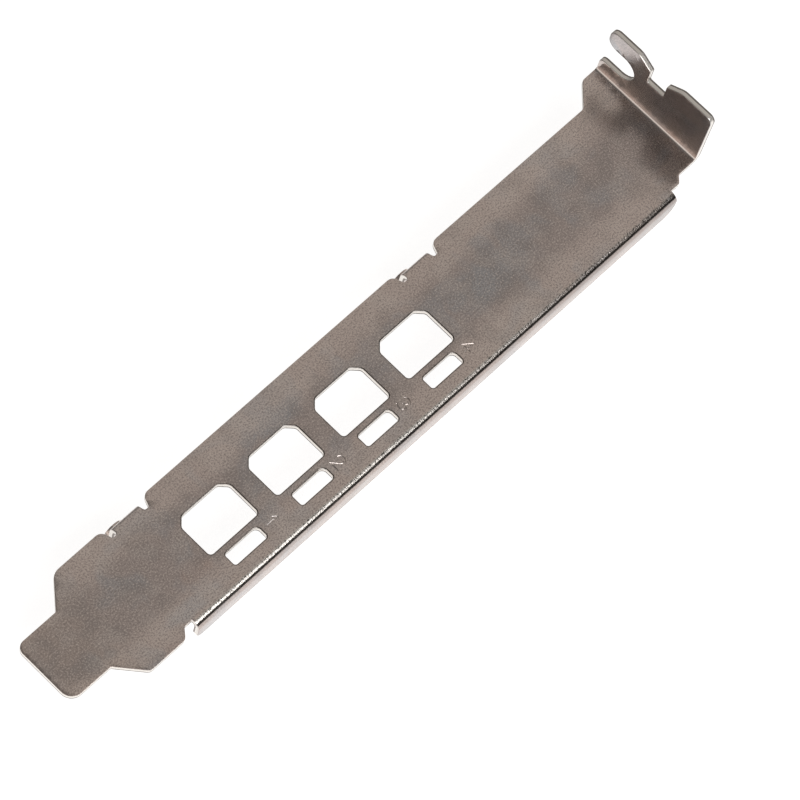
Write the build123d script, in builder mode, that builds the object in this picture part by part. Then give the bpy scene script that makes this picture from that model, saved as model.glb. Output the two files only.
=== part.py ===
from build123d import *
import math
import os

os.makedirs("parts", exist_ok=True)

# Full-height expansion slot bracket, folded from one sheet. The plate lies flat with its outer
# face up, the screw tab is folded up and the board ears and the stiffening flange are folded down.
# The origin is on the tab's seating face, on the plate's centre line and level with the screw.
overall_length = 120.02
plate_width = 18.42
thickness = 0.86
bend_inner = 0.45
bend_outer = bend_inner + thickness

# Screw tab, measured up from the plate's outer face and across from the flange side
tab_height = 11.5
tab_near = 2.38
tab_far = 21.6
tab_near_corner = 1.1
tab_far_corner = 1.3
screw_height = 5.37
screw_centre = 18.15
screw_slot_width = 4.75
finger_end = 21.4
finger_corner_low = 0.9
finger_corner_high = 1.65
finger_round_share = 0.45
notch_near = 10.6
notch_far = 13.65
notch_floor = 7.18
notch_lip = 9.9
notch_root_corner = 0.25
notch_lip_corner = 0.4
lip_run = 2.5
lip_round = 2.0

# Tongue and its sloping shoulders, measured from the tongue's end
tongue_width = 10.35
tongue_offset = -0.11
tongue_length = 7.15
tongue_corner_near = 1.9
tongue_corner_far = 1.3
shoulder_slope = 1.15
shoulder_root_near = 0.4
shoulder_root_far = 0.3
shoulder_round_near = 1.0
shoulder_round_far = 2.0

# Flared end of the plate beside the tab
flare_end_gap = 3.7
flare_round = 1.0

# Stiffening flange along the near side
flange_start = 19.5
flange_end = 113.1
flange_depth = 4.2
relief_width = 2.55
relief_ramp = 1.15
relief_depth = 1.4
flange_corner_tongue = 1.2
flange_corner_tab = 2.3
exit_depth = 1.4
exit_run = 1.7
relief_mouth_round = 1.0
relief_root_round = 0.5
step_round = 0.4

# Board ears along the far side, each with a drawn and tapped collar
ear_starts = (20.7, 76.0)
ear_width = 5.0
ear_inset = 0.42
ear_hole_depth = 7.5
ear_below_hole = 2.6
ear_corner = 1.6
notch_mouth_width = 1.45
notch_root_width = 0.8
notch_beyond_bend = 0.03
notch_root_round = 0.25
notch_mouth_round = 1.2
collar_height = 1.4
collar_radius = 1.7
collar_flare = 0.35
tap_radius = 1.25
tap_chamfer = 0.15

# Four ports with two cut corners each, and a latch slot beside each with one corner rounder
port_count = 4
port_pitch = 12.57
port_start = 27.6
port_length = 9.0
port_near = 6.15
port_width = 6.6
port_near_round = 0.6
port_far_cut = 1.2
port_far_round = 0.8
latch_start = 29.08
latch_length = 6.0
latch_near = 2.96
latch_width = 2.1
latch_round = 0.4
latch_keyed_round = 0.8

# Where the flat plate gives way to its bends
tongue_end = thickness - overall_length
near_edge = -plate_width / 2
outer_face = -screw_height
seat_from_tongue = overall_length - thickness
tab_bend_start = seat_from_tongue - bend_inner
ear_face = plate_width - ear_inset
ear_bend_start = ear_face - bend_outer
notch_root = ear_bend_start - notch_beyond_bend
ear_drop = ear_hole_depth + ear_below_hole
tab_width = tab_far - tab_near
slot_low = screw_height - screw_slot_width / 2
slot_high = screw_height + screw_slot_width / 2
finger_width = tab_height - slot_high
finger_round_limit = finger_width * finger_round_share
finger_round_far = min(tab_far_corner, finger_round_limit)
finger_round_slot = min(finger_corner_high, finger_round_limit)

# Working planes, drawn from the tongue's end and the flange side
plate_plane = Plane((tongue_end, near_edge, outer_face))
tab_plane = Plane((0, near_edge, outer_face), x_dir=(0, 1, 0), z_dir=(1, 0, 0))
side_plane = Plane((tongue_end, near_edge + tab_far, outer_face), x_dir=(1, 0, 0), z_dir=(0, -1, 0))


def cross_plane(distance):
    """Plane across the plate at a distance from the tongue's end, drawn across and up."""
    return Plane((tongue_end + distance, near_edge, outer_face), x_dir=(0, 1, 0), z_dir=(1, 0, 0))


# Outline of the flat plate, from the tongue round the flange side to the tab and back
tongue_near = plate_width / 2 + tongue_offset - tongue_width / 2
tongue_far = tongue_near + tongue_width
shoulder_end_near = tongue_length + tongue_near / shoulder_slope
shoulder_end_far = tongue_length + (plate_width - tongue_far) / shoulder_slope
relief_start = flange_start - relief_width
flare = tab_far - plate_width
flare_end = seat_from_tongue + thickness - flare_end_gap
exit_start = flange_end + exit_run
near_side = [
    ((0, tongue_near), tongue_corner_near),
    ((tongue_length, tongue_near), shoulder_root_near),
    ((shoulder_end_near, 0), shoulder_round_near),
    ((relief_start, 0), relief_mouth_round),
    ((relief_start + relief_ramp, relief_depth), relief_root_round),
    ((flange_start, relief_depth), 0),
    ((flange_start, bend_outer), 0),
    ((flange_end, bend_outer), 0),
    ((flange_end, exit_depth), 0),
    ((exit_start, exit_depth), step_round),
    ((exit_start + tab_near - exit_depth, tab_near), step_round),
    ((tab_bend_start, tab_near), 0),
]
far_side = [
    ((tab_bend_start, tab_far), 0),
    ((flare_end, tab_far), flare_round),
    ((flare_end - flare, plate_width), flare_round),
]
for ear_start in reversed(ear_starts):
    ear_stop = ear_start + ear_width
    far_side += [
        ((ear_stop + notch_mouth_width, plate_width), notch_mouth_round),
        ((ear_stop + notch_root_width, notch_root), notch_root_round),
        ((ear_stop, notch_root), 0),
        ((ear_stop, ear_bend_start), 0),
        ((ear_start, ear_bend_start), 0),
        ((ear_start, notch_root), 0),
        ((ear_start - notch_root_width, notch_root), notch_root_round),
        ((ear_start - notch_mouth_width, plate_width), notch_mouth_round),
    ]
far_side += [
    ((shoulder_end_far, plate_width), shoulder_round_far),
    ((tongue_length, tongue_far), shoulder_root_far),
    ((0, tongue_far), tongue_corner_far),
]
corners = near_side + far_side

# Flat plate with its port and latch openings
with BuildPart() as plate:
    with BuildSketch(plate_plane):
        with BuildLine():
            FilletPolyline([point for point, _ in corners], radius=[r for _, r in corners], close=True)
        make_face()
    extrude(amount=-thickness)
    with BuildSketch(plate_plane):
        for i in range(port_count):
            left = port_start + i * port_pitch
            right = left + port_length
            far = port_near + port_width
            with BuildLine():
                FilletPolyline(
                    (left, port_near),
                    (right, port_near),
                    (right, far - port_far_cut),
                    (right - port_far_cut, far),
                    (left + port_far_cut, far),
                    (left, far - port_far_cut),
                    radius=2 * [port_near_round] + 4 * [port_far_round],
                    close=True,
                )
            make_face()
            left = latch_start + i * port_pitch
            right = left + latch_length
            far = latch_near + latch_width
            with BuildLine():
                FilletPolyline(
                    (left, latch_near), (right, latch_near), (right, far), (left, far),
                    radius=[latch_round, latch_round, latch_keyed_round, latch_round],
                    close=True,
                )
            make_face()
    extrude(amount=-thickness, mode=Mode.SUBTRACT)

# Stiffening flange, folded down from the near edge
with BuildPart() as flange:
    with BuildSketch(cross_plane(flange_start)):
        with BuildLine():
            Line((bend_outer, 0), (bend_outer, -thickness))
            RadiusArc((bend_outer, -thickness), (thickness, -bend_outer), -bend_inner)
            Line((thickness, -bend_outer), (thickness, -flange_depth))
            Line((thickness, -flange_depth), (0, -flange_depth))
            Line((0, -flange_depth), (0, -bend_outer))
            RadiusArc((0, -bend_outer), (bend_outer, 0), bend_outer)
        make_face()
    extrude(amount=flange_end - flange_start)
    foot = flange.edges().filter_by(Axis.Y).group_by(Axis.Z)[0].sort_by(Axis.X)
    fillet(foot[0], flange_corner_tongue)
    fillet(foot[-1], flange_corner_tab)

# Board ears, folded down from the far edge, with their collars drawn outwards
with BuildPart() as ears:
    for ear_start in ear_starts:
        with BuildSketch(cross_plane(ear_start)):
            with BuildLine():
                Line((ear_bend_start, 0), (ear_bend_start, -thickness))
                RadiusArc((ear_bend_start, -thickness), (ear_face - thickness, -bend_outer), bend_inner)
                Line((ear_face - thickness, -bend_outer), (ear_face - thickness, -ear_drop))
                Line((ear_face - thickness, -ear_drop), (ear_face, -ear_drop))
                Line((ear_face, -ear_drop), (ear_face, -bend_outer))
                RadiusArc((ear_face, -bend_outer), (ear_bend_start, 0), -bend_outer)
            make_face()
        extrude(amount=ear_width)
    fillet(ears.edges().filter_by(Axis.Y).group_by(Axis.Z)[0], ear_corner)
    for ear_start in ear_starts:
        hole_x = tongue_end + ear_start + ear_width / 2
        hole_z = outer_face - ear_hole_depth
        face_plane = Plane((hole_x, near_edge + ear_face, hole_z), x_dir=(1, 0, 0), z_dir=(0, 1, 0))
        with BuildSketch(face_plane):
            Circle(collar_radius + collar_flare)
        extrude(amount=collar_height, taper=math.degrees(math.atan(collar_flare / collar_height)))
        with BuildSketch(face_plane.offset(collar_height)):
            Circle(tap_radius)
        extrude(amount=-collar_height - thickness, mode=Mode.SUBTRACT)
    mouths = ears.edges().filter_by(GeomType.CIRCLE).filter_by(lambda e: abs(e.radius - tap_radius) < 0.01)
    chamfer(mouths, tap_chamfer)

# Screw tab, folded up from the end, with its open screw slot and the notch in its free edge
with BuildPart() as tab:
    with BuildSketch(side_plane):
        with BuildLine():
            Line((tab_bend_start, 0), (tab_bend_start, -thickness))
            RadiusArc((tab_bend_start, -thickness), (overall_length, bend_inner), -bend_outer)
            Line((overall_length, bend_inner), (overall_length, tab_height))
            Line((overall_length, tab_height), (seat_from_tongue, tab_height))
            Line((seat_from_tongue, tab_height), (seat_from_tongue, bend_inner))
            RadiusArc((seat_from_tongue, bend_inner), (tab_bend_start, 0), bend_inner)
        make_face()
    extrude(amount=tab_width)
    with BuildSketch(tab_plane) as profile:
        with BuildLine():
            FilletPolyline(
                (tab_near, -bend_outer),
                (tab_near, tab_height),
                (notch_near - lip_run, tab_height),
                (notch_near, notch_lip),
                (notch_near, notch_floor),
                (notch_far, notch_floor),
                (notch_far, notch_lip),
                (notch_far + lip_run, tab_height),
                (finger_end, tab_height),
                (finger_end, screw_height),
                (tab_far, screw_height),
                (tab_far, -bend_outer),
                radius=[
                    0, tab_near_corner, lip_round, notch_lip_corner, notch_root_corner,
                    notch_root_corner, notch_lip_corner, lip_round, finger_round_far, 0, 0, 0,
                ],
                close=True,
            )
        make_face()
        with Locations((tab_far, screw_height)):
            Rectangle(2 * (tab_far - screw_centre), screw_slot_width, mode=Mode.SUBTRACT)
        with Locations((screw_centre, screw_height)):
            Circle(screw_slot_width / 2, mode=Mode.SUBTRACT)
        low_tip = profile.vertices().sort_by_distance((tab_far, slot_low))[0]
        fillet(low_tip, finger_corner_low)
        high_tip = profile.vertices().sort_by_distance((finger_end, slot_high))[0]
        fillet(high_tip, finger_round_slot)
    extrude(amount=overall_length, both=True, mode=Mode.INTERSECT)

with BuildPart() as bracket:
    add(plate.part)
    add(flange.part)
    add(ears.part)
    add(tab.part)

bracket.part.label = "bracket"
export_step(bracket.part, "parts/bracket.step")
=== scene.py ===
import math

import bpy
import numpy as np
from mathutils import Matrix, Vector
from mathutils.geometry import delaunay_2d_cdt


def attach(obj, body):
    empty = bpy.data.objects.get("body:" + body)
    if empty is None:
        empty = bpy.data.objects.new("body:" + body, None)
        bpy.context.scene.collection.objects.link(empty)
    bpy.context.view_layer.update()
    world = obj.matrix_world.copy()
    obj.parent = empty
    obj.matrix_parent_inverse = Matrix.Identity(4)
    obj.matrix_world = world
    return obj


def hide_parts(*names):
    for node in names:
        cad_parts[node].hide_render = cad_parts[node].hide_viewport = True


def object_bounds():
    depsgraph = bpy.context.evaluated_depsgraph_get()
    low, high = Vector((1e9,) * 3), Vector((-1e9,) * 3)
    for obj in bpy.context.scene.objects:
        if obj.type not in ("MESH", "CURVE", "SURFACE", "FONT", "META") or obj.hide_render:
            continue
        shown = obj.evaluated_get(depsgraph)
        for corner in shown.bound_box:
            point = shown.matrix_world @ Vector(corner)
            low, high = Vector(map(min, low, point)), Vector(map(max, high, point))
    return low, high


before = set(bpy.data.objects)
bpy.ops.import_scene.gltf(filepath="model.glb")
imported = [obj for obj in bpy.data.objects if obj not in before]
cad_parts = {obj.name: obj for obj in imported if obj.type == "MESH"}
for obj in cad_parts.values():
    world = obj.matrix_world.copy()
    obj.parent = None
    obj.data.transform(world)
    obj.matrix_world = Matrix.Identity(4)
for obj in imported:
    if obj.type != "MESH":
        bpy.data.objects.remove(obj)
MM = 0.001
cad_low, cad_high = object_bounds()

# Sizes of the folded sheet in millimetres, as the frame was drawn: u runs from the tongue's end,
# v from the flange side and w up from the plate's outer face
THICKNESS = 0.86
PLATE_WIDTH = 18.42
BEND_INNER = 0.45
BEND_OUTER = BEND_INNER + THICKNESS
NEUTRAL = BEND_INNER + 0.45 * THICKNESS
QUARTER = NEUTRAL * math.pi / 2
LENGTH = (cad_high.x - cad_low.x) / MM
SEAT = LENGTH - THICKNESS
TAB_HEIGHT = 11.5
TAB_NEAR = 2.38
TAB_FAR = (cad_high.y - cad_low.y) / MM
SCREW_HEIGHT = TAB_HEIGHT - cad_high.z / MM

SCREW_CENTRE = 18.15
SCREW_SLOT_HALF = 2.375
FINGER_END = 21.4
TAB_NOTCH_NEAR = 10.6
TAB_NOTCH_FAR = 13.65
TAB_NOTCH_FLOOR = 7.18
TAB_NOTCH_LIP = 9.9
TAB_LIP_RUN = 2.5
FLARE_END_GAP = 3.7

TONGUE_WIDTH = 10.35
TONGUE_OFFSET = -0.11
TONGUE_LENGTH = 7.15
SHOULDER_SLOPE = 1.15

FLANGE_START = 19.5
FLANGE_END = 113.1
FLANGE_DEPTH = 4.2
RELIEF_WIDTH = 2.55
RELIEF_RAMP = 1.15
RELIEF_DEPTH = 1.4
EXIT_DEPTH = 1.4
EXIT_RUN = 1.7

EAR_STARTS = (20.7, 76.0)
EAR_WIDTH = 5.0
EAR_INSET = 0.42
EAR_HOLE_DEPTH = 7.5
EAR_BELOW_HOLE = 2.6
NOTCH_MOUTH = 1.45
NOTCH_FOOT = 0.8
NOTCH_BEYOND_BEND = 0.03
COLLAR_HEIGHT = 1.4
COLLAR_RADIUS = 1.7
COLLAR_FLARE = 0.35
THREAD_MINOR = 1.25
THREAD_MAJOR = 1.5
THREAD_PITCH = 0.5
THREAD_RIDGE = 0.25

PORTS = 4
PORT_PITCH = 12.57
PORT_START = 27.6
PORT_LENGTH = 9.0
PORT_NEAR = 6.15
PORT_WIDTH = 6.6
PORT_CUT = 1.2
LATCH_START = 29.08
LATCH_LENGTH = 6.0
LATCH_NEAR = 2.96
LATCH_WIDTH = 2.1
NUMERAL_START = 37.05
NUMERAL_ACROSS = 4.1
NUMERAL_HEIGHT = 1.9
NUMERAL_WIDTH = 1.35
NUMERAL_DEPTH = 0.07
NUMERAL_HALF_STROKE = 0.13

# Where the flat plate gives way to its bends
TAB_LINE = SEAT - BEND_INNER
FLANGE_LINE = BEND_OUTER
EAR_LINE = PLATE_WIDTH - EAR_INSET - BEND_OUTER
FLANGE_EDGE = FLANGE_LINE - QUARTER - (FLANGE_DEPTH - BEND_OUTER)
EAR_EDGE = EAR_LINE + QUARTER + EAR_HOLE_DEPTH + EAR_BELOW_HOLE - BEND_OUTER
EAR_HOLE = EAR_LINE + QUARTER + EAR_HOLE_DEPTH - BEND_OUTER
NOTCH_ROOT = EAR_LINE - NOTCH_BEYOND_BEND

# Sheared edges: roll-over on the punch side, an upright burnished wall, and the break below it
ROLL_OUTLINE = 0.07
ROLL_OPENING = 0.26
ROLL_DEPTH = 0.17
BREAK = -0.58
BREAK_LEAN = 0.01

# Slight extra bending of the sheet beside the tab's fold: its slopes and how far it starts before it
SWELL_SLOPE = 0.09
SWELL_SLOPE_TAB = 0.24
SWELL_RUN = 5.0

FLAT, FLANGE, EAR, TAB = range(4)


class Value:
    """A number in a node tree, so that a sum or a product of two adds a Math node."""

    def __init__(self, tree, socket):
        self.tree, self.socket = tree, socket

    def result(self, operation, *values):
        node = self.tree.nodes.new("ShaderNodeMath")
        node.operation = operation
        for socket, value in zip(node.inputs, values):
            plug(self.tree, socket, value)
        return Value(self.tree, node.outputs[0])

    def __add__(self, other):
        return self.result("ADD", self, other)

    def __sub__(self, other):
        return self.result("SUBTRACT", self, other)

    def __mul__(self, other):
        return self.result("MULTIPLY", self, other)

    def __truediv__(self, other):
        return self.result("DIVIDE", self, other)

    def __radd__(self, other):
        return self.result("ADD", other, self)

    def __rsub__(self, other):
        return self.result("SUBTRACT", other, self)

    def __rmul__(self, other):
        return self.result("MULTIPLY", other, self)

    def least(self, other):
        return self.result("MINIMUM", self, other)

    def most(self, other):
        return self.result("MAXIMUM", self, other)

    def sine(self):
        return self.result("SINE", self)

    def cosine(self):
        return self.result("COSINE", self)

    def root(self):
        return self.result("SQRT", self)


def plug(tree, socket, value):
    """Links a wrapped or plain output to a socket, or sets the socket to a constant."""
    if isinstance(value, Value):
        value = value.socket
    if isinstance(value, bpy.types.NodeSocket):
        tree.links.new(value, socket)
    else:
        socket.default_value = value


class Tree:
    """A node tree under construction."""

    def __init__(self, tree):
        self.tree = tree

    def node(self, kind, settings=None, sockets=None):
        """Adds a node, with its settings first and then the values or links of its sockets."""
        node = self.tree.nodes.new(kind)
        for name, value in (settings or {}).items():
            setattr(node, name, value)
        for name, value in (sockets or {}).items():
            plug(self.tree, node.inputs[name], value)
        return node

    def value(self, node, output=0):
        return Value(self.tree, node.outputs[output])

    def ramp(self, value, low, high, start=0.0, stop=1.0):
        """Smooth step of a value from start to stop as it goes from low to high."""
        node = self.node("ShaderNodeMapRange", {"interpolation_type": "SMOOTHSTEP"}, {
            "Value": value, "From Min": low, "From Max": high, "To Min": start, "To Max": stop})
        return self.value(node)

    def noise(self, vector, scale, detail=2.0, roughness=0.5, distortion=0.0):
        node = self.node("ShaderNodeTexNoise", {"noise_dimensions": "3D"}, {
            "Vector": vector, "Scale": scale, "Detail": detail, "Roughness": roughness,
            "Distortion": distortion})
        return self.value(node, "Fac")

    def mix(self, factor, first, second):
        """Mix of two colours."""
        node = self.node("ShaderNodeMix", {"data_type": "RGBA"})
        plug(self.tree, node.inputs[0], factor)
        plug(self.tree, node.inputs[6], first)
        plug(self.tree, node.inputs[7], second)
        return node.outputs[2]

    def stretch(self, vector, scale):
        node = self.node("ShaderNodeMapping", {"vector_type": "POINT"}, {"Vector": vector, "Scale": scale})
        return node.outputs[0]


def new_material(name):
    """An empty node material and the tree it is built in."""
    material = bpy.data.materials.new(name)
    material.use_nodes = True
    material.node_tree.nodes.clear()
    return material, Tree(material.node_tree)


def node_group(name, inputs):
    """A geometry node tree with named inputs, and the node that hands them on."""
    tree = bpy.data.node_groups.new(name, "GeometryNodeTree")
    for label, kind in inputs:
        tree.interface.new_socket(label, in_out="INPUT", socket_type="NodeSocket" + kind)
    tree.interface.new_socket("Geometry", in_out="OUTPUT", socket_type="NodeSocketGeometry")
    t = Tree(tree)
    return t, t.node("NodeGroupInput")


# Outlines of the punched blank

def rounded(corners):
    """Closed outline through corners (u, v, radius), each round stretch sampled as an arc."""
    points = []
    count = len(corners)
    for i, (u, v, radius) in enumerate(corners):
        here = np.array((u, v))
        back = np.array(corners[i - 1][:2]) - here
        ahead = np.array(corners[(i + 1) % count][:2]) - here
        back, ahead = back / np.linalg.norm(back), ahead / np.linalg.norm(ahead)
        half = math.acos(np.clip(back @ ahead, -1, 1)) / 2
        if radius == 0 or half > 1.55:
            points.append(here)
            continue
        middle = (back + ahead) / np.linalg.norm(back + ahead)
        centre = here + middle * radius / math.sin(half)
        start = here + back * radius / math.tan(half) - centre
        stop = here + ahead * radius / math.tan(half) - centre
        turn = math.atan2(start[0] * stop[1] - start[1] * stop[0], start @ stop)
        steps = max(3, math.ceil(abs(turn) / math.radians(11)))
        for k in range(steps + 1):
            a = turn * k / steps
            spin = np.array(((math.cos(a), -math.sin(a)), (math.sin(a), math.cos(a))))
            points.append(centre + spin @ start)
    return np.array(points)


def in_bend(points):
    """True for points of the blank that lie in one of its bends or close to it."""
    u, v = points[:, 0], points[:, 1]
    margin = 0.2
    flange = (v > FLANGE_LINE - QUARTER - margin) & (v < FLANGE_LINE + margin)
    flange &= (u > FLANGE_START - 1) & (u < FLANGE_END + 1)
    ears = (v > EAR_LINE - margin) & (v < EAR_LINE + QUARTER + margin)
    tab = (u > TAB_LINE - margin) & (u < TAB_LINE + QUARTER + margin)
    return flange | ears | tab


def divided(points):
    """The same outline with its straight runs divided, finely where they cross a bend."""
    result = []
    for a, b in zip(points, np.roll(points, -1, axis=0)):
        length = np.linalg.norm(b - a)
        fine = np.linspace(a, b, max(2, math.ceil(length / 0.1) + 1))[:-1]
        bent = in_bend(fine)
        last = -1e9
        for k, point in enumerate(fine):
            if k == 0 or k - last >= (1 if bent[k] else 5):
                result.append(point)
                last = k
    return np.array(result)


def wall_profile(roll):
    """Steps (inset, height) down a sheared wall whose roll-over has a given width."""
    steps = [(roll * (1 - math.sin(a)), -ROLL_DEPTH * (1 - math.cos(a)))
             for a in np.radians((0, 18, 36, 54, 72, 90))]
    steps += [(0.0, BREAK), (BREAK_LEAN / 2, BREAK - 0.1), (BREAK_LEAN, -THICKNESS + 0.03)]
    return steps + [(BREAK_LEAN + 0.03, -THICKNESS), (roll, -THICKNESS)]


def inset(points, amount):
    """Outline moved to its left by an amount, mitred at each point."""
    ahead = np.roll(points, -1, axis=0) - points
    ahead /= np.linalg.norm(ahead, axis=1)[:, None]
    normal = np.stack((-ahead[:, 1], ahead[:, 0]), axis=1)
    both = normal + np.roll(normal, 1, axis=0)
    both /= np.maximum((both * normal).sum(axis=1), 0.5)[:, None]
    return points + both * amount


def blank_corners():
    """The blank's outline, flange, ears and tab unfolded, from the tongue along the flange side."""
    near = PLATE_WIDTH / 2 + TONGUE_OFFSET - TONGUE_WIDTH / 2
    far = near + TONGUE_WIDTH
    relief = FLANGE_START - RELIEF_WIDTH
    step = FLANGE_END + EXIT_RUN
    flare_end = LENGTH - FLARE_END_GAP
    rise = TAB_LINE + QUARTER - BEND_INNER
    top, lip, floor = rise + TAB_HEIGHT, rise + TAB_NOTCH_LIP, rise + TAB_NOTCH_FLOOR
    slot_low, slot_high = rise + SCREW_HEIGHT - SCREW_SLOT_HALF, rise + SCREW_HEIGHT + SCREW_SLOT_HALF
    slot_root = SCREW_CENTRE - SCREW_SLOT_HALF
    corners = [
        (0, near, 1.9),
        (TONGUE_LENGTH, near, 0.4),
        (TONGUE_LENGTH + near / SHOULDER_SLOPE, 0, 1.0),
        (relief, 0, 1.0),
        (relief + RELIEF_RAMP, RELIEF_DEPTH, 0.5),
        (FLANGE_START, RELIEF_DEPTH, 0.12),
        (FLANGE_START, FLANGE_EDGE, 1.2),
        (FLANGE_END, FLANGE_EDGE, 2.3),
        (FLANGE_END, EXIT_DEPTH, 0.12),
        (step, EXIT_DEPTH, 0.4),
        (step + TAB_NEAR - EXIT_DEPTH, TAB_NEAR, 0.4),
        (top, TAB_NEAR, 1.1),
        (top, TAB_NOTCH_NEAR - TAB_LIP_RUN, 2.0),
        (lip, TAB_NOTCH_NEAR, 0.4),
        (floor, TAB_NOTCH_NEAR, 0.25),
        (floor, TAB_NOTCH_FAR, 0.25),
        (lip, TAB_NOTCH_FAR, 0.4),
        (top, TAB_NOTCH_FAR + TAB_LIP_RUN, 2.0),
        (top, FINGER_END, 1.3),
        (slot_high, FINGER_END, 1.65),
        (slot_high, slot_root, SCREW_SLOT_HALF - 0.005),
        (slot_low, slot_root, SCREW_SLOT_HALF - 0.005),
        (slot_low, TAB_FAR, 0.9),
        (flare_end, TAB_FAR, 1.0),
        (flare_end - TAB_FAR + PLATE_WIDTH, PLATE_WIDTH, 1.0),
    ]
    for start in reversed(EAR_STARTS):
        stop = start + EAR_WIDTH
        corners += [
            (stop + NOTCH_MOUTH, PLATE_WIDTH, 1.2),
            (stop + NOTCH_FOOT, NOTCH_ROOT, 0.25),
            (stop, NOTCH_ROOT, 0.35),
            (stop, EAR_EDGE, 1.6),
            (start, EAR_EDGE, 1.6),
            (start, NOTCH_ROOT, 0.35),
            (start - NOTCH_FOOT, NOTCH_ROOT, 0.25),
            (start - NOTCH_MOUTH, PLATE_WIDTH, 1.2),
        ]
    corners += [
        (TONGUE_LENGTH + (PLATE_WIDTH - far) / SHOULDER_SLOPE, PLATE_WIDTH, 2.0),
        (TONGUE_LENGTH, far, 0.3),
        (0, far, 1.3),
    ]
    return corners


def opening_corners():
    """The ports, each with two cut corners, and the latch slots beside them."""
    openings = []
    for i in range(PORTS):
        left, near = PORT_START + i * PORT_PITCH, PORT_NEAR
        right, far = left + PORT_LENGTH, near + PORT_WIDTH
        openings.append([
            (left, near, 0.6), (right, near, 0.6), (right, far - PORT_CUT, 0.8),
            (right - PORT_CUT, far, 0.8), (left + PORT_CUT, far, 0.8), (left, far - PORT_CUT, 0.8)])
        left, near = LATCH_START + i * PORT_PITCH, LATCH_NEAR
        right, far = left + LATCH_LENGTH, near + LATCH_WIDTH
        openings.append([(left, near, 0.4), (right, near, 0.4), (right, far, 0.8), (left, far, 0.4)])
    return openings


def ear_centre(start):
    return np.array((start + EAR_WIDTH / 2, EAR_HOLE))


def ear_circle(start):
    angles = np.linspace(0, 2 * math.pi, 64, endpoint=False)
    ring = np.stack((np.cos(angles), np.sin(angles)), axis=1)
    return ear_centre(start) + ring * (COLLAR_RADIUS + COLLAR_FLARE + 0.05)


# Numerals stamped beside the latch slots, each as strokes in a box one high and one wide

def arc(u, v, radius_u, radius_v, first, last, steps=10):
    angles = np.radians(np.linspace(first, last, steps))
    return [(u + radius_u * math.cos(a), v + radius_v * math.sin(a)) for a in angles]


def numeral_strokes():
    return [
        [[(0.5, 0.0), (0.5, 1.0), (0.2, 0.76)]],
        [arc(0.5, 0.7, 0.45, 0.3, 170, -35) + [(0.02, 0.0), (1.0, 0.0)]],
        [arc(0.46, 0.74, 0.42, 0.26, 150, -90) + arc(0.48, 0.25, 0.5, 0.25, 80, -150)],
        [[(0.72, 0.0), (0.72, 1.0), (0.0, 0.3), (1.0, 0.3)]],
    ]


def numeral_runs():
    """Straight pieces of all four numerals on the blank, which read with the tab upwards."""
    runs = []
    for i, strokes in enumerate(numeral_strokes()):
        centre = np.array((NUMERAL_START + i * PORT_PITCH, NUMERAL_ACROSS))
        for stroke in strokes:
            placed = [centre + ((y - 0.5) * NUMERAL_HEIGHT, (0.5 - x) * NUMERAL_WIDTH) for x, y in stroke]
            runs += list(zip(placed[:-1], placed[1:]))
    return runs


def distance_to_runs(points, runs):
    nearest = np.full(len(points), 1e9)
    for a, b in runs:
        along = b - a
        t = np.clip(((points - a) @ along) / (along @ along), 0, 1)
        nearest = np.minimum(nearest, np.linalg.norm(points - a - t[:, None] * along, axis=1))
    return nearest


def lattice(u_range, v_range, spacing):
    u = np.arange(u_range[0], u_range[1], spacing)
    v = np.arange(v_range[0], v_range[1], spacing * 0.87)
    grid = np.array([(a + (k % 2) * spacing / 2, b) for k, b in enumerate(v) for a in u])
    return grid


def rows(u_values, v_values):
    return np.array([(a, b) for a in u_values for b in v_values])


def inner_points():
    """Points for the triangles inside the blank, in rows along its bends and dense at its numerals."""
    turn = np.linspace(0, QUARTER, 13)
    bends = [
        rows(np.arange(FLANGE_START, FLANGE_END, 0.35), FLANGE_LINE - turn),
        rows(TAB_LINE + turn, np.arange(TAB_NEAR, TAB_FAR, 0.35)),
    ]
    for start in EAR_STARTS:
        bends.append(rows(np.arange(start, start + EAR_WIDTH, 0.35), EAR_LINE + turn))
    field = lattice((0, LENGTH + TAB_HEIGHT), (FLANGE_EDGE, EAR_EDGE), 0.8)
    field = field[~in_bend(field)]
    patches = []
    for i in range(PORTS):
        centre = NUMERAL_START + i * PORT_PITCH
        reach_u, reach_v = NUMERAL_HEIGHT / 2 + 0.25, NUMERAL_WIDTH / 2 + 0.25
        patch = lattice((centre - reach_u, centre + reach_u),
                        (NUMERAL_ACROSS - reach_v, NUMERAL_ACROSS + reach_v), 0.07)
        patches.append(patch)
        near = (abs(field[:, 0] - centre) < reach_u) & (abs(field[:, 1] - NUMERAL_ACROSS) < reach_v)
        field = field[~near]
    return np.concatenate(bends + [field] + patches)


def inside(points, outline):
    """True for points inside a closed outline."""
    u, v = points[:, 0], points[:, 1]
    result = np.zeros(len(points), bool)
    for (a, b), (c, d) in zip(outline, np.roll(outline, -1, axis=0)):
        if b == d:
            continue
        crosses = ((b > v) != (d > v)) & (u < (c - a) * (v - b) / (d - b) + a)
        result ^= crosses
    return result


def clear_of(points, outlines, distance):
    """Drops the points that lie closer than a distance to any outline."""
    edge = np.concatenate(outlines)
    keep = np.ones(len(points), bool)
    for first in range(0, len(points), 2000):
        part = points[first:first + 2000]
        gap = np.linalg.norm(part[:, None, :] - edge[None, :, :], axis=2).min(axis=1)
        keep[first:first + 2000] = gap > distance
    return points[keep]


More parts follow.
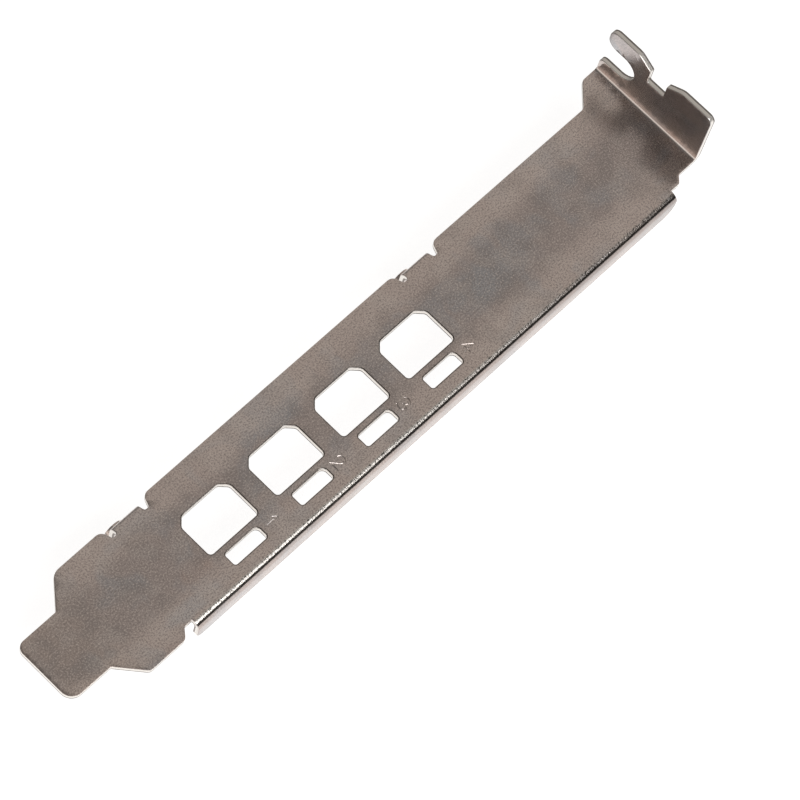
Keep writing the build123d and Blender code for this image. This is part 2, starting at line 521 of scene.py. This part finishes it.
def collar_profile():
    """Rings (radius, height) of a drawn collar, from the ear's outer face over its lip to its inner face."""
    base = COLLAR_RADIUS + COLLAR_FLARE + 0.05
    flare = [(COLLAR_RADIUS + (base - COLLAR_RADIUS) * (1 - math.sin(a)),
              0.45 * (1 - math.cos(a))) for a in np.radians((0, 15, 30, 45, 60, 75, 90))]
    lip = [(COLLAR_RADIUS - 0.06 * (1 - math.cos(a)), COLLAR_HEIGHT - 0.06 + 0.06 * math.sin(a))
           for a in np.radians((0, 30, 60, 90))]
    mouth = [(THREAD_MAJOR + 0.02, COLLAR_HEIGHT), (THREAD_MAJOR, COLLAR_HEIGHT - 0.03)]
    back = [(THREAD_MAJOR, -THICKNESS + 0.2)]
    back += [(THREAD_MAJOR + 0.25 * (1 - math.cos(a)), -THICKNESS + 0.2 - 0.2 * math.sin(a))
             for a in np.radians((30, 60, 90))]
    return flare + lip + mouth + back + [(base, -THICKNESS)]


def punch_blank():
    """The flat blank as a closed mesh, its edges rolled over, its collars drawn and its numerals struck."""
    outlines = [divided(rounded(blank_corners()))]
    outlines += [divided(rounded(corners)) for corners in opening_corners()]
    rims = []
    for k, outline in enumerate(outlines):
        inward, roll = (1.0, ROLL_OUTLINE) if k == 0 else (-1.0, ROLL_OPENING)
        rims.append([(inset(outline, amount * inward), height) for amount, height in wall_profile(roll)])
    circles = [ear_circle(start) for start in EAR_STARTS]
    edges_of_face = [rim[0][0] for rim in rims] + circles
    points = inner_points()
    keep = inside(points, edges_of_face[0])
    for hole in edges_of_face[1:]:
        keep &= ~inside(points, hole)
    points = points[keep]
    dense = distance_to_runs(points, numeral_runs()) < 1.0
    points = np.concatenate((clear_of(points[~dense], edges_of_face, 0.14),
                             clear_of(points[dense], edges_of_face, 0.1)))
    bound = np.concatenate(edges_of_face)
    links, first = [], 0
    for edge in edges_of_face:
        links += [(first + k, first + (k + 1) % len(edge)) for k in range(len(edge))]
        first += len(edge)
    every = [Vector(p) for p in np.concatenate((bound, points))]
    flat, _, triangles, _, _, _ = delaunay_2d_cdt(every, links, [], 0, 1e-6)
    flat = np.array([tuple(p) for p in flat])
    triangles = np.array([t[:] for t in triangles])
    centres = flat[triangles].mean(axis=1)
    keep = inside(centres, edges_of_face[0])
    for hole in edges_of_face[1:]:
        keep &= ~inside(centres, hole)
    triangles = triangles[keep]
    if len(flat) != len(every):
        raise ValueError("two points of the blank fall together")
    return assemble(flat, triangles, rims, circles)


def assemble(flat, triangles, rims, circles):
    """Joins the two faces of the sheet with the walls of its outline, openings and collars."""
    a, b, c = (flat[triangles[:, k]] for k in range(3))
    turn = (b[:, 0] - a[:, 0]) * (c[:, 1] - a[:, 1]) - (b[:, 1] - a[:, 1]) * (c[:, 0] - a[:, 0])
    triangles[turn < 0] = triangles[turn < 0][:, ::-1]
    depth = NUMERAL_DEPTH * groove(distance_to_runs(flat, numeral_runs()))
    top = np.column_stack((flat, -depth))
    under = np.column_stack((flat, np.full(len(flat), -THICKNESS)))
    vertices = [top, under]
    wall = [np.zeros(len(flat)), np.zeros(len(flat))]
    faces = [tuple(t) for t in triangles] + [tuple(t[::-1] + len(flat)) for t in triangles]
    total, first = 2 * len(flat), 0
    for rim in rims:
        count = len(rim[0][0])
        above = np.arange(first, first + count)
        rings = [above]
        for ring, height in rim[1:-1]:
            vertices.append(np.column_stack((ring, np.full(count, height))))
            wall.append(np.full(count, 1.0 if first == 0 else 2.0))
            rings.append(np.arange(total, total + count))
            total += count
        rings.append(above + len(flat))
        faces += ring_faces(rings, first == 0)
        first += count
    for circle in circles:
        count = len(circle)
        centre = circle.mean(axis=0)
        way = (circle - centre) / np.linalg.norm(circle - centre, axis=1)[:, None]
        above = np.arange(first, first + count)
        rings = [above]
        for radius, height in collar_profile()[1:-1]:
            vertices.append(np.column_stack((centre + way * radius, np.full(count, height))))
            wall.append(np.zeros(count))
            rings.append(np.arange(total, total + count))
            total += count
        rings.append(above + len(flat))
        faces += ring_faces(rings, False)
        first += count
    return np.concatenate(vertices), faces, np.concatenate(wall)


def ring_faces(rings, around_sheet):
    """Quads between rings of vertices that run round the sheet, or round a hole in it."""
    faces = []
    count = len(rings[0])
    for upper, lower in zip(rings[:-1], rings[1:]):
        for k in range(count):
            n = (k + 1) % count
            quad = (upper[k], lower[k], lower[n], upper[n])
            faces.append(quad if around_sheet else quad[::-1])
    return faces


def groove(distance):
    """Depth of a struck stroke across its width, from one at its middle to nothing at its edge."""
    t = np.clip((NUMERAL_HALF_STROKE * 1.35 - distance) / (NUMERAL_HALF_STROKE * 0.8), 0, 1)
    return t * t * (3 - 2 * t)


def swell(u):
    """Height that the sheet gains along u, where it bends a little before and after the tab's fold."""
    gained = SWELL_SLOPE * SWELL_RUN / 3 + (SWELL_SLOPE - SWELL_SLOPE_TAB) * QUARTER / 2
    settle = 3 * gained / SWELL_SLOPE_TAB
    place = np.linspace(-SWELL_RUN, QUARTER + settle, 400)
    slope = np.where(place < 0, SWELL_SLOPE * (1 + place / SWELL_RUN) ** 2, 0)
    slope += np.where((place >= 0) & (place < QUARTER),
                      SWELL_SLOPE - (SWELL_SLOPE + SWELL_SLOPE_TAB) * place / QUARTER, 0)
    slope -= np.where(place >= QUARTER, SWELL_SLOPE_TAB * (1 - (place - QUARTER) / settle) ** 2, 0)
    height = np.cumsum(slope) * (place[1] - place[0])
    return np.interp(u - TAB_LINE, place, height - height[-1] * np.linspace(0, 1, len(height)))


def blank_object():
    vertices, faces, wall = punch_blank()
    raised = vertices + np.outer(swell(vertices[:, 0]), (0, 0, 1))
    mesh = bpy.data.meshes.new("bracket_sheet")
    mesh.from_pydata((raised * MM).tolist(), [], faces)
    mesh.validate()
    sheet = mesh.attributes.new("sheet", "FLOAT_VECTOR", "POINT")
    sheet.data.foreach_set("vector", vertices.astype(np.float32).ravel())
    edge = mesh.attributes.new("edge", "FLOAT", "POINT")
    edge.data.foreach_set("value", wall.astype(np.float32))
    fold = mesh.attributes.new("fold", "INT", "POINT")
    fold.data.foreach_set("value", fold_of(vertices).astype(np.int32))
    piece = bpy.data.objects.new("bracket_sheet", mesh)
    bpy.context.scene.collection.objects.link(piece)
    return piece


def fold_of(vertices):
    """Which fold each point of the blank takes part in."""
    u, v = vertices[:, 0], vertices[:, 1]
    fold = np.full(len(u), FLAT)
    margin = 0.4
    fold[(v < FLANGE_LINE) & (u > FLANGE_START - margin) & (u < FLANGE_END + margin)] = FLANGE
    for start in EAR_STARTS:
        fold[(v > EAR_LINE) & (abs(u - start - EAR_WIDTH / 2) < EAR_WIDTH / 2 + margin)] = EAR
    fold[u > TAB_LINE] = TAB
    return fold


def fold_tree():
    """Geometry nodes that fold a sheet along a line, its outer face's radius and turn given."""
    t, given = node_group("fold_sheet", [
        ("Geometry", "Geometry"), ("Outer Face Radius", "Float"), ("Neutral Radius", "Float"),
        ("Line", "Float"), ("Turn", "Float"), ("Along", "Vector"), ("Fold", "Int"),
        ("Material", "Material")])
    radius, neutral, line, turn = (t.value(given, name) for name in (
        "Outer Face Radius", "Neutral Radius", "Line", "Turn"))
    place = t.node("GeometryNodeInputPosition").outputs[0]
    height = t.value(t.node("ShaderNodeSeparateXYZ", sockets={0: place}), "Z")
    reach = t.value(t.node("ShaderNodeVectorMath", {"operation": "DOT_PRODUCT"}, {
        0: place, 1: given.outputs["Along"]}), "Value") - line
    past = reach.most(0.0)
    angle = past.least(neutral * (math.pi / 2)) / neutral
    straight = (past - neutral * (math.pi / 2)).most(0.0)
    arm = radius - turn * height
    shift = arm * angle.sine() - past
    rise = turn * (radius - arm * angle.cosine() + straight) - height
    across = t.node("ShaderNodeVectorMath", {"operation": "SCALE"}, {
        0: given.outputs["Along"], "Scale": shift}).outputs[0]
    upward = t.node("ShaderNodeCombineXYZ", sockets={"Z": rise}).outputs[0]
    offset = t.node("ShaderNodeVectorMath", {"operation": "ADD"}, {0: across, 1: upward}).outputs[0]
    part = t.node("GeometryNodeInputNamedAttribute", {"data_type": "INT"}, {"Name": "fold"}).outputs[0]
    chosen = t.node("FunctionNodeCompare", {"data_type": "INT", "operation": "EQUAL"})
    plug(t.tree, chosen.inputs[2], part)
    plug(t.tree, chosen.inputs[3], given.outputs["Fold"])
    moved = t.node("GeometryNodeSetPosition", sockets={
        "Geometry": given.outputs["Geometry"], "Selection": chosen.outputs[0], "Offset": offset})
    real = t.node("GeometryNodeRealizeInstances", sockets={0: moved.outputs[0]})
    painted = t.node("GeometryNodeSetMaterial", sockets={
        "Geometry": real.outputs[0], "Material": given.outputs["Material"]})
    t.node("NodeGroupOutput", sockets={0: painted.outputs[0]})
    return t.tree


def thread_tree():
    """Geometry nodes for the ridge of a tapped thread in each of a row of collars."""
    t, given = node_group("tapped_thread", [
        ("Geometry", "Geometry"), ("Minor Radius", "Float"), ("Ridge", "Float"), ("Pitch", "Float"),
        ("Length", "Float"), ("First", "Vector"), ("Spacing", "Vector"), ("Count", "Int"),
        ("Material", "Material")])
    minor, ridge, pitch, length = (t.value(given, name) for name in (
        "Minor Radius", "Ridge", "Pitch", "Length"))
    helix = t.node("GeometryNodeCurveSpiral", sockets={
        "Resolution": 40, "Rotations": length / pitch, "Start Radius": minor + ridge,
        "End Radius": minor + ridge, "Height": length})
    upright = t.node("GeometryNodeSetCurveNormal", {"mode": "Z_UP"}, {0: helix.outputs[0]})
    triangle = t.node("GeometryNodeCurvePrimitiveCircle", sockets={"Resolution": 3, "Radius": ridge})
    swept = t.node("GeometryNodeCurveToMesh", sockets={
        0: upright.outputs[0], 1: triangle.outputs[0], "Fill Caps": True})
    place = t.node("GeometryNodeInputPosition").outputs[0]
    grown = t.node("ShaderNodeVectorMath", {"operation": "SCALE"}, {0: place, "Scale": 1 / MM}).outputs[0]
    named = t.node("GeometryNodeStoreNamedAttribute", {"data_type": "FLOAT_VECTOR"}, {
        "Geometry": swept.outputs[0], "Name": "sheet", "Value": grown})
    lying = t.node("GeometryNodeTransform", sockets={
        0: named.outputs[0], "Rotation": (-math.pi / 2, 0.0, 0.0)})
    row = t.node("GeometryNodeMeshLine", sockets={
        "Count": given.outputs["Count"], "Start Location": given.outputs["First"],
        "Offset": given.outputs["Spacing"]})
    copies = t.node("GeometryNodeInstanceOnPoints", sockets={
        "Points": row.outputs[0], "Instance": lying.outputs[0]})
    real = t.node("GeometryNodeRealizeInstances", sockets={0: copies.outputs[0]})
    painted = t.node("GeometryNodeSetMaterial", sockets={
        "Geometry": real.outputs[0], "Material": given.outputs["Material"]})
    t.node("NodeGroupOutput", sockets={0: painted.outputs[0]})
    return t.tree


def give(modifier, values):
    """Sets a node modifier's inputs by the identifiers of their sockets."""
    for item in modifier.node_group.interface.items_tree:
        if item.in_out == "INPUT" and item.name in values:
            modifier[item.identifier] = values[item.name]


def made_plain(piece):
    """The object's evaluated shape as its own mesh, with its modifiers gone."""
    graph = bpy.context.evaluated_depsgraph_get()
    mesh = bpy.data.meshes.new_from_object(piece.evaluated_get(graph))
    mesh.name = piece.name
    piece.modifiers.clear()
    piece.data = mesh
    return piece


def fold_blank(piece, material):
    tree = fold_tree()
    folds = [
        (FLANGE, (0.0, -1.0, 0.0), -FLANGE_LINE, BEND_OUTER, -1.0),
        (EAR, (0.0, 1.0, 0.0), EAR_LINE, BEND_OUTER, -1.0),
        (TAB, (1.0, 0.0, 0.0), TAB_LINE, BEND_INNER, 1.0),
    ]
    for number, along, line, radius, turn in folds:
        modifier = piece.modifiers.new("fold", "NODES")
        modifier.node_group = tree
        give(modifier, {
            "Outer Face Radius": radius * MM, "Neutral Radius": NEUTRAL * MM, "Line": line * MM,
            "Turn": turn, "Along": along, "Fold": number, "Material": material})
    return made_plain(piece)


def tapped_threads(material):
    """The threads in both collars, as one piece."""
    piece = bpy.data.objects.new("collar_threads", bpy.data.meshes.new("collar_threads"))
    bpy.context.scene.collection.objects.link(piece)
    start = np.array((
        EAR_STARTS[0] + EAR_WIDTH / 2 - LENGTH + THICKNESS,
        PLATE_WIDTH / 2 - EAR_INSET - THICKNESS + 0.3,
        -EAR_HOLE_DEPTH - SCREW_HEIGHT))
    modifier = piece.modifiers.new("thread", "NODES")
    modifier.node_group = thread_tree()
    give(modifier, {
        "Minor Radius": THREAD_MINOR * MM, "Ridge": THREAD_RIDGE * MM, "Pitch": THREAD_PITCH * MM,
        "Length": (COLLAR_HEIGHT + THICKNESS - 0.6) * MM, "First": tuple(start * MM),
        "Spacing": ((EAR_STARTS[1] - EAR_STARTS[0]) * MM, 0.0, 0.0), "Count": len(EAR_STARTS),
        "Material": material})
    return made_plain(piece)


def to_row_frame(piece):
    """From the drawing's corner of the plate to the frame's origin on the tab's seat."""
    piece.data.transform(Matrix.Translation((
        cad_low.x, -PLATE_WIDTH / 2 * MM, -SCREW_HEIGHT * MM)))
    return piece


def shade(piece, angle):
    piece.data.shade_smooth()
    piece.data.set_sharp_from_angle(angle=math.radians(angle))
    weighted = piece.modifiers.new("weighted", "WEIGHTED_NORMAL")
    weighted.keep_sharp = True
    return made_plain(piece)


# Finish of the plated steel: colours, some of them painted highlight and painted shade, and stains as a
# middle and a reach on the sheet
BROWN = (0.63, 0.52, 0.475, 1.0)
BLUE_GREY = (0.50, 0.52, 0.55, 1.0)
REDDISH = (0.66, 0.46, 0.38, 1.0)
WARM_BROWN = (0.64, 0.50, 0.40, 1.0)
DARK_GRAIN_AND_SHADE = (0.37, 0.32, 0.30, 1.0)
PALE_GRAIN_AND_HIGHLIGHT = (0.83, 0.73, 0.67, 1.0)
MIDDLE_DARK = (0.34, 0.32, 0.32, 1.0)
BURNISHED_AND_HIGHLIGHT = (0.88, 0.84, 0.79, 1.0)
TORN = (0.30, 0.27, 0.25, 1.0)
CRAZE_AND_SHADE_DARK = (0.10, 0.09, 0.08, 1.0)
BLUE_STAINS = [
    ((5.7, 5.7), (1.6, 1.8)),
    ((21.5, 2.8), (6.0, 1.4)),
    ((48.2, 14.5), (5.5, 2.2)),
    ((84.0, 9.4), (8.0, 3.2)),
]
RED_STAIN = ((24.5, 6.0), (2.6, 2.0))

# Places across the flange's bend: the crazed strip with its painted highlight, and the painted dark line
# below it
CRAZED_LOW = 0.80
CRAZED_HIGH = 1.18
DARK_LINE_AT = 0.71


def stain(t, u, v, middle, reach, ragged):
    """One inside a stain on the sheet, and nothing beyond its ragged rim."""
    across, along = (u - middle[0]) / reach[0], (v - middle[1]) / reach[1]
    return t.ramp((across * across + along * along).root() + ragged, 0.45, 1.25, 1.0, 0.0)


def plated_steel():
    """Dulled nickel plating on the flats, with bare burnished and torn zones on the sheared walls, and
    painted highlights and painted shade on the tab's foot, the openings' edges and the flange's bend.
    """
    material, t = new_material("plated_steel")
    sheet = t.node("ShaderNodeAttribute", {"attribute_name": "sheet"}).outputs["Vector"]
    edge = t.value(t.node("ShaderNodeAttribute", {"attribute_name": "edge"}), "Fac")
    wall, opening = edge.least(1.0), (edge - 1.0).most(0.0)
    split = t.node("ShaderNodeSeparateXYZ", sockets={0: sheet})
    u, v, w = (t.value(split, axis) for axis in "XYZ")

    # Tarnish: brown ground, blue-grey clouds, a reddish stain, a warm tongue, light and dark mottling
    ragged = 1.2 * t.noise(sheet, 0.4, 2.5, 0.6) - 0.6
    clouds = 0.7 * t.ramp(t.noise(sheet, 0.14, 2.0, 0.55, 0.5), 0.48, 0.64)
    for middle, reach in BLUE_STAINS:
        clouds = clouds.most(stain(t, u, v, middle, reach, ragged))
    tint = t.mix(clouds, BROWN, BLUE_GREY)
    tint = t.mix(0.6 * stain(t, u, v, *RED_STAIN, ragged), tint, REDDISH)
    tint = t.mix(t.ramp(u + 3.0 * ragged, 6.0, 14.0, 0.45, 0.0), tint, WARM_BROWN)
    tint = t.mix(t.ramp(t.noise(sheet, 0.25, 1.5, 0.5), 0.52, 0.36, 0.0, 0.5), tint, DARK_GRAIN_AND_SHADE)
    tint = t.mix(t.ramp(t.noise(sheet, 0.22, 1.5, 0.5), 0.48, 0.66, 0.0, 0.5), tint, PALE_GRAIN_AND_HIGHLIGHT)
    # Darker across the middle of the plate and paler along both long sides, up to the tab's fold
    across = v + 3.0 * ragged
    middle = t.ramp(across, 3.0, 6.5) * t.ramp(across, 12.5, 16.5, 1.0, 0.0)
    paler_sides = (1.0 - middle) * t.ramp(v, 0.2, 1.4) * t.ramp(u, TAB_LINE - 2.0, TAB_LINE, 1.0, 0.0)
    tint = t.mix(0.42 * middle * t.ramp(u, TAB_LINE - 2.0, TAB_LINE, 1.0, 0.0), tint, MIDDLE_DARK)
    tint = t.mix(0.45 * paler_sides, tint, PALE_GRAIN_AND_HIGHLIGHT)
    grain = t.noise(sheet, 4.2, 2.0, 0.8)
    tint = t.mix(t.ramp(grain, 0.52, 0.34, 0.0, 0.95), tint, DARK_GRAIN_AND_SHADE)
    tint = t.mix(t.ramp(grain, 0.5, 0.68, 0.0, 0.85), tint, PALE_GRAIN_AND_HIGHLIGHT)

    # The tab: cooler in colour, and a painted highlight where it leaves its bend
    tint = t.mix(t.ramp(u, TAB_LINE, TAB_LINE + 1.0, 0.0, 0.35), tint, BLUE_GREY)
    painted_foot_highlight = t.ramp(u, TAB_LINE, TAB_LINE + 1.0) * t.ramp(u, TAB_LINE + 2.5, TAB_LINE + 6.0, 0.55, 0.0)
    tint = t.mix(painted_foot_highlight, tint, PALE_GRAIN_AND_HIGHLIGHT)

    # Sheared walls
    torn_line = w + 0.12 * t.noise(t.stretch(sheet, (1.0, 1.0, 0.1)), 1.6, 2.0) - 0.06
    torn = wall * t.ramp(torn_line, BREAK - 0.03, BREAK + 0.03, 1.0, 0.0)
    burnished = wall * t.ramp(w, -0.5 * ROLL_DEPTH, -0.3 * ROLL_DEPTH, 1.0, 0.0) * (1.0 - torn)
    # Painted dark reflection on the upper roll-over of each opening's edge
    rolled = opening * t.ramp(w, -0.5 * ROLL_DEPTH, -0.3 * ROLL_DEPTH)
    tint = t.mix(0.8 * rolled, tint, CRAZE_AND_SHADE_DARK)
    tint = t.mix(burnished, tint, BURNISHED_AND_HIGHLIGHT)
    tint = t.mix(torn, tint, TORN)
    # Painted shade: the torn zone is darker inside the openings than round the outline
    tint = t.mix(0.7 * torn * opening, tint, CRAZE_AND_SHADE_DARK)

    # The flange's bend: a crazed strip made bright by a painted highlight, and a dark ragged line below it
    # as a painted dark reflection
    along = t.ramp(u, FLANGE_START - 0.1, FLANGE_START + 0.1)
    along = along * t.ramp(u, FLANGE_END - 0.1, FLANGE_END + 0.1, 1.0, 0.0)
    outside = along * t.ramp(w, -THICKNESS / 2 - 0.01, -THICKNESS / 2 + 0.01)
    crumple = t.noise(sheet, 3.4, 3.0, 0.75)
    wander = v + 0.16 * t.noise(sheet, 1.2, 4.0, 0.7) - 0.08
    crazed_and_highlight = outside * t.ramp(wander, CRAZED_LOW - 0.04, CRAZED_LOW + 0.04)
    crazed_and_highlight = crazed_and_highlight * t.ramp(wander, CRAZED_HIGH - 0.04, CRAZED_HIGH + 0.04, 1.0, 0.0)
    # Painted highlight on the crazed strip, fading toward the tab
    tint = t.mix(crazed_and_highlight * t.ramp(u, 60.0, 100.0, 0.85, 0.2), tint, BURNISHED_AND_HIGHLIGHT)
    tint = t.mix(crazed_and_highlight * t.ramp(crumple, 0.5, 0.4, 0.0, 0.9), tint, CRAZE_AND_SHADE_DARK)
    # Painted shade on the flange's outer face, darker toward its bend and toward the tab
    painted_flange_shade = outside * t.ramp(v, FLANGE_EDGE, 0.2, 0.1, 0.45) * t.ramp(v, DARK_LINE_AT, DARK_LINE_AT + 0.15, 1.0, 0.0)
    painted_flange_shade = painted_flange_shade * t.ramp(u, 50.0, 105.0, 1.0, 1.7)
    tint = t.mix(painted_flange_shade, tint, DARK_GRAIN_AND_SHADE)
    # Painted dark reflection: a ragged dark line below the crazed strip
    off_line = wander - DARK_LINE_AT
    painted_dark_line = t.ramp((off_line * off_line).root(), 0.06, 0.12, 1.0, 0.0)
    tint = t.mix(0.85 * painted_dark_line * outside, tint, CRAZE_AND_SHADE_DARK)

    # Gloss, and relief in thousandths of a millimetre: orange peel, drag marks, torn and crazed metal
    roughness = 0.17 + 0.14 * t.noise(sheet, 0.7, 4.0, 0.6) + 0.12 * burnished + 0.25 * torn
    peel = t.noise(sheet, 2.2, 2.0, 0.5)
    drag = t.noise(t.stretch(sheet, (3.0, 3.0, 0.3)), 2.0, 2.0)
    relief = 5.0 * peel + 4.0 * drag * burnished + 20.0 * crumple * torn + 24.0 * crumple * crazed_and_highlight
    bump = t.node("ShaderNodeBump", sockets={"Strength": 1.0, "Distance": 0.000001, "Height": relief})
    surface = t.node("ShaderNodeBsdfPrincipled", sockets={
        "Base Color": tint, "Metallic": 1.0, "Roughness": roughness, "Normal": bump.outputs[0]})
    t.node("ShaderNodeOutputMaterial", sockets={"Surface": surface.outputs[0]})
    return material


# Floor, light and camera

def studio_floor():
    size = 3.0
    mesh = bpy.data.meshes.new("floor")
    corners = [(x * size, y * size, cad_low.z) for x, y in ((-1, -1), (1, -1), (1, 1), (-1, 1))]
    mesh.from_pydata(corners, [], [(0, 1, 2, 3)])
    floor = bpy.data.objects.new("floor", mesh)
    bpy.context.scene.collection.objects.link(floor)
    material, t = new_material("white_paper")
    rays = t.node("ShaderNodeLightPath")
    place = t.node("ShaderNodeTexCoord").outputs["Object"]
    behind = t.value(t.node("ShaderNodeSeparateXYZ", sockets={0: place}), "Y")
    mirrored = t.value(rays, "Is Glossy Ray").most(t.value(rays, "Is Transmission Ray"))
    near = t.ramp(behind, 0.015, 0.025, 1.0, 0.0)
    seen = t.value(rays, "Is Camera Ray").most(mirrored * near)
    paper = t.node("ShaderNodeBsdfDiffuse", sockets={"Color": (0.45, 0.45, 0.45, 1.0)})
    glow = t.node("ShaderNodeEmission", sockets={"Color": (1.0, 1.0, 1.0, 1.0), "Strength": 0.84 * seen})
    both = t.node("ShaderNodeAddShader", sockets={0: paper.outputs[0], 1: glow.outputs[0]})
    t.node("ShaderNodeOutputMaterial", sockets={"Surface": both.outputs[0]})
    mesh.materials.append(material)


def studio_world():
    """Grey room that is dark overhead and behind, and bright low on the tongue's side."""
    world = bpy.data.worlds.new("studio")
    bpy.context.scene.world = world
    world.use_nodes = True
    world.node_tree.nodes.clear()
    t = Tree(world.node_tree)
    way = t.node("ShaderNodeTexCoord").outputs["Generated"]
    split = t.node("ShaderNodeSeparateXYZ", sockets={0: way})
    x, y = t.value(split, "X"), t.value(split, "Y")
    level = t.ramp(x, 0.02, 0.2, 0.17, 0.43) + t.ramp(x, -0.85, -0.6, 0.75, 0.0)
    level = level * t.ramp(y, -0.45, -0.2, 0.15, 1.0)
    rays = t.node("ShaderNodeLightPath")
    seen = t.value(rays, "Is Camera Ray")
    sky = t.node("ShaderNodeBackground", sockets={"Color": (1.0, 0.95, 0.9, 1.0), "Strength": level})
    white = t.node("ShaderNodeBackground", sockets={"Color": (1.0, 1.0, 1.0, 1.0), "Strength": 1.0})
    both = t.node("ShaderNodeMixShader", sockets={0: seen, 1: sky.outputs[0], 2: white.outputs[0]})
    t.node("ShaderNodeOutputWorld", sockets={"Surface": both.outputs[0]})


def soft_lamp(name, place, target, size, power):
    lamp = bpy.data.lights.new(name, "AREA")
    lamp.shape = "RECTANGLE"
    lamp.size, lamp.size_y = size
    lamp.energy = power
    holder = bpy.data.objects.new(name, lamp)
    holder.location = place
    holder.rotation_mode = "QUATERNION"
    holder.rotation_quaternion = (Vector(target) - Vector(place)).to_track_quat("-Z", "Y")
    bpy.context.scene.collection.objects.link(holder)
    return holder


def photographers_camera():
    """The camera that was fitted to the photograph, with its right, down and forward ways."""
    right = Vector((0.6911918, -0.7093193, 0.1382752))
    down = Vector((-0.6161545, -0.6784115, -0.4001393))
    ahead = Vector((0.3776340, 0.1913742, -0.9059627))
    place = Vector((-280.8861, -117.9708, 531.9642)) * MM
    camera = bpy.data.cameras.new("camera")
    camera.sensor_width = 36.0
    camera.lens = 198.744
    camera.shift_x, camera.shift_y = -0.5 / 800, 0.5 / 800
    camera.clip_start, camera.clip_end = 0.01, 10.0
    holder = bpy.data.objects.new("camera", camera)
    axes = Matrix((right, -down, -ahead)).transposed().to_4x4()
    axes.translation = place
    holder.matrix_world = axes
    bpy.context.scene.collection.objects.link(holder)
    bpy.context.scene.camera = holder


steel = plated_steel()
bracket_sheet = to_row_frame(shade(fold_blank(blank_object(), steel), 32))
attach(bracket_sheet, "root")
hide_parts("bracket")
collar_threads = tapped_threads(steel)
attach(collar_threads, "root")

studio_floor()
studio_world()
soft_lamp("soft_box", (-0.2, -0.53, 0.59), (-0.06, 0.0, 0.0), (0.88, 0.5), 4.0)
photographers_camera()
bpy.context.scene.view_settings.view_transform = "Standard"
